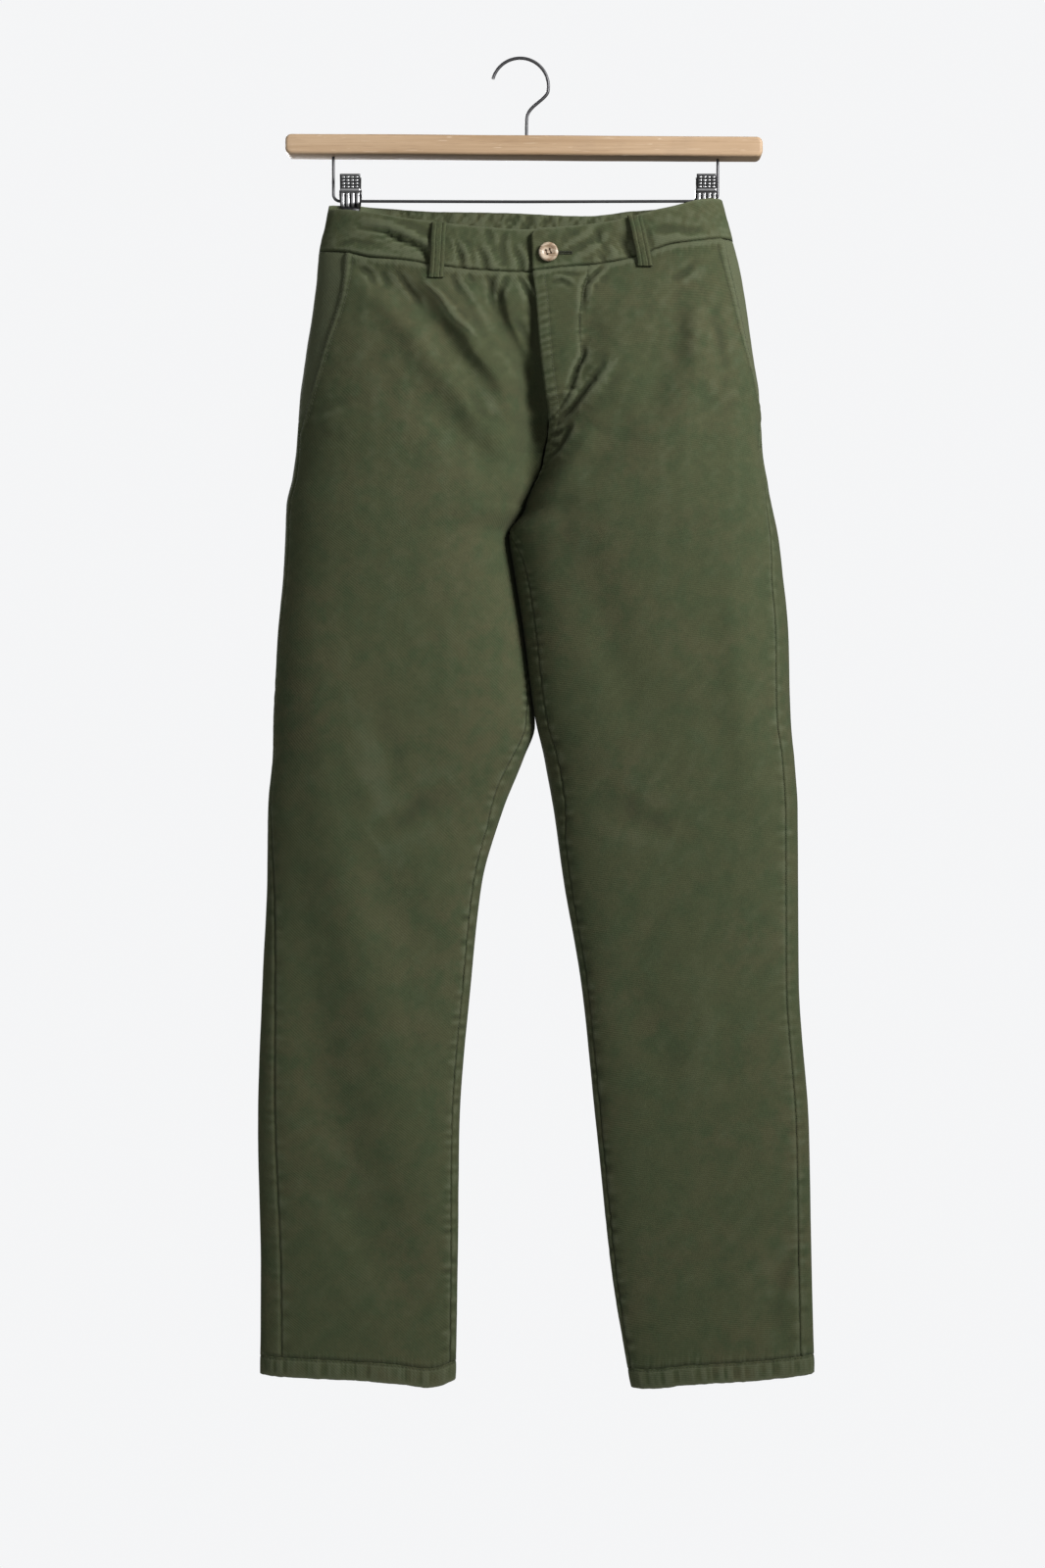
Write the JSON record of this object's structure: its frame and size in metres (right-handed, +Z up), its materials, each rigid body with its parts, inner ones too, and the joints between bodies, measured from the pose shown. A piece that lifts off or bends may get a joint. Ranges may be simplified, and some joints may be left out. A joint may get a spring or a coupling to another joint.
{
  "type": "chino trousers on a clip hanger",
  "caption": "Straight-leg cotton twill chino trousers with slanted pockets, belt loops and a buttoned fly front, hanging by the back waistband from a wooden clip hanger.",
  "frame": {"origin": "top of the inner bend of the hanger's hook, where a rail carries it", "axes": "+Z up, -Y towards the front of the trousers, +X to the wearer's left"},
  "size_m": [0.4912, 0.1058, 1.1758],
  "materials": {
    "olive_twill": "washed olive cotton twill",
    "zip_tape": "woven tape",
    "horn": "polished cream horn",
    "pale_wood": "pale matt lacquered wood",
    "steel_wire": "bright plated wire",
    "steel_plate": "bright plated pressed steel"
  },
  "bodies": {
    "root": {"front_right": "olive_twill", "front_left": "olive_twill", "back_right": "olive_twill", "back_left": "olive_twill", "waistband_right": "olive_twill", "waistband_left": "olive_twill", "waistband_back": "olive_twill", "fly_shield": "olive_twill", "pocket_right": "olive_twill", "pocket_left": "olive_twill", "hem_right": "olive_twill", "hem_left": "olive_twill", "belt_loop_front_right": "olive_twill", "belt_loop_front_left": "olive_twill", "belt_loop_back_right": "olive_twill", "belt_loop_back_centre": "olive_twill", "belt_loop_back_left": "olive_twill", "fly_zip": "zip_tape", "button": "horn", "hanger_bar": "pale_wood", "hanger_hook": "steel_wire", "hanger_frame": "steel_wire", "clip_plate_front_right": "steel_plate", "clip_plate_rear_right": "steel_plate", "clip_roll_right": "steel_plate", "clip_plate_front_left": "steel_plate", "clip_plate_rear_left": "steel_plate", "clip_roll_left": "steel_plate"}
  },
  "joints": []
}
